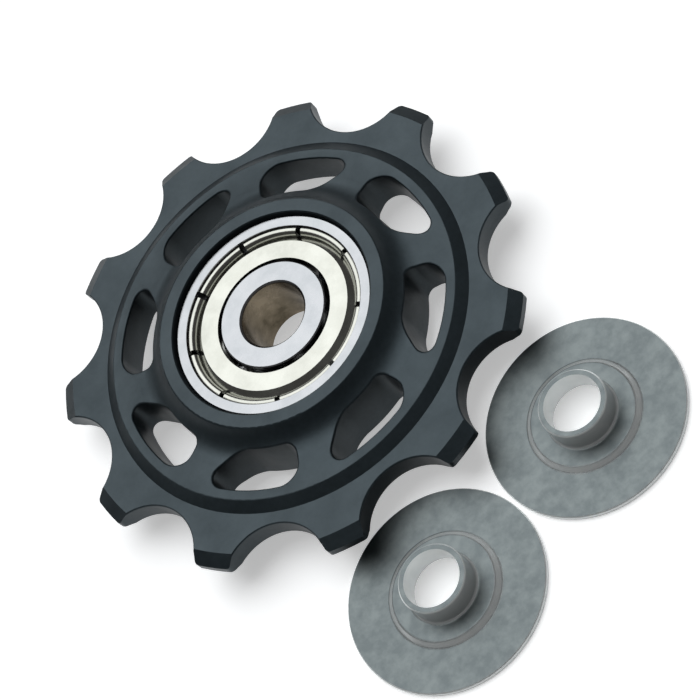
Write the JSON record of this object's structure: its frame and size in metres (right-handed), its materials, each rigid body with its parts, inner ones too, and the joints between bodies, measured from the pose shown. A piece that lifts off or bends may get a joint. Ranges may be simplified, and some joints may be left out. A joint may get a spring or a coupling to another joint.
{
  "type": "derailleur jockey wheel",
  "caption": "Black toothed jockey wheel on a shielded ball bearing, with spoked windows, a flared hub and two flanged bush caps lying beside it.",
  "frame": {"origin": "centre of the bearing's bore, in the wheel's middle plane", "axes": "+Z along the wheel's axis, up from the surface that it lies on; +X through the middle of a gap between two teeth; the bush caps lie on the -Y side"},
  "size_m": [0.0439, 0.0589, 0.007],
  "materials": {
    "moulded_polymer": "fine moulded grain, satin black",
    "ground_steel": "ground",
    "pressed_steel": "bright rolled sheet",
    "cage_steel": "pressed sheet",
    "polished_steel": "polished",
    "plated_steel": "dull zinc plate"
  },
  "bodies": {
    "axle_side": {"bearing_inner_ring": "ground_steel", "bush_cap_left": "plated_steel", "bush_cap_right": "plated_steel"},
    "wheel": {"toothed_wheel": "moulded_polymer", "bearing_outer_ring": "ground_steel", "shield_upper": "pressed_steel", "shield_lower": "pressed_steel"},
    "cage": {"cage_upper": "cage_steel", "cage_lower": "cage_steel"},
    "ball_1": {"ball_1": "polished_steel"},
    "ball_2": {"ball_2": "polished_steel"},
    "ball_3": {"ball_3": "polished_steel"},
    "ball_4": {"ball_4": "polished_steel"},
    "ball_5": {"ball_5": "polished_steel"},
    "ball_6": {"ball_6": "polished_steel"},
    "ball_7": {"ball_7": "polished_steel"}
  },
  "joints": [
    {"name": "wheel_spin", "type": "hinge", "parent": "axle_side", "child": "wheel", "pos_m": [0, 0, 0], "axis": [0, 0, 1], "continuous": true},
    {"name": "cage_spin", "type": "hinge", "parent": "axle_side", "child": "cage", "pos_m": [0, 0, 0], "axis": [0, 0, 1], "continuous": true},
    {"name": "ball_1_spin", "type": "hinge", "parent": "cage", "child": "ball_1", "pos_m": [0.00625, 0, 0], "axis": [0, 0, 1], "continuous": true},
    {"name": "ball_2_spin", "type": "hinge", "parent": "cage", "child": "ball_2", "pos_m": [0.0039, 0.00489, 0], "axis": [0, 0, 1], "continuous": true},
    {"name": "ball_3_spin", "type": "hinge", "parent": "cage", "child": "ball_3", "pos_m": [-0.00139, 0.00609, 0], "axis": [0, 0, 1], "continuous": true},
    {"name": "ball_4_spin", "type": "hinge", "parent": "cage", "child": "ball_4", "pos_m": [-0.00563, 0.00271, 0], "axis": [0, 0, 1], "continuous": true},
    {"name": "ball_5_spin", "type": "hinge", "parent": "cage", "child": "ball_5", "pos_m": [-0.00563, -0.00271, 0], "axis": [0, 0, 1], "continuous": true},
    {"name": "ball_6_spin", "type": "hinge", "parent": "cage", "child": "ball_6", "pos_m": [-0.00139, -0.00609, 0], "axis": [0, 0, 1], "continuous": true},
    {"name": "ball_7_spin", "type": "hinge", "parent": "cage", "child": "ball_7", "pos_m": [0.0039, -0.00489, 0], "axis": [0, 0, 1], "continuous": true}
  ],
  "couplings": [
    {"joint": "cage_spin", "follows": "wheel_spin", "ratio": 0.64},
    {"joint": "ball_1_spin", "follows": "wheel_spin", "ratio": 1.6457},
    {"joint": "ball_2_spin", "follows": "wheel_spin", "ratio": 1.6457},
    {"joint": "ball_3_spin", "follows": "wheel_spin", "ratio": 1.6457},
    {"joint": "ball_4_spin", "follows": "wheel_spin", "ratio": 1.6457},
    {"joint": "ball_5_spin", "follows": "wheel_spin", "ratio": 1.6457},
    {"joint": "ball_6_spin", "follows": "wheel_spin", "ratio": 1.6457},
    {"joint": "ball_7_spin", "follows": "wheel_spin", "ratio": 1.6457}
  ]
}
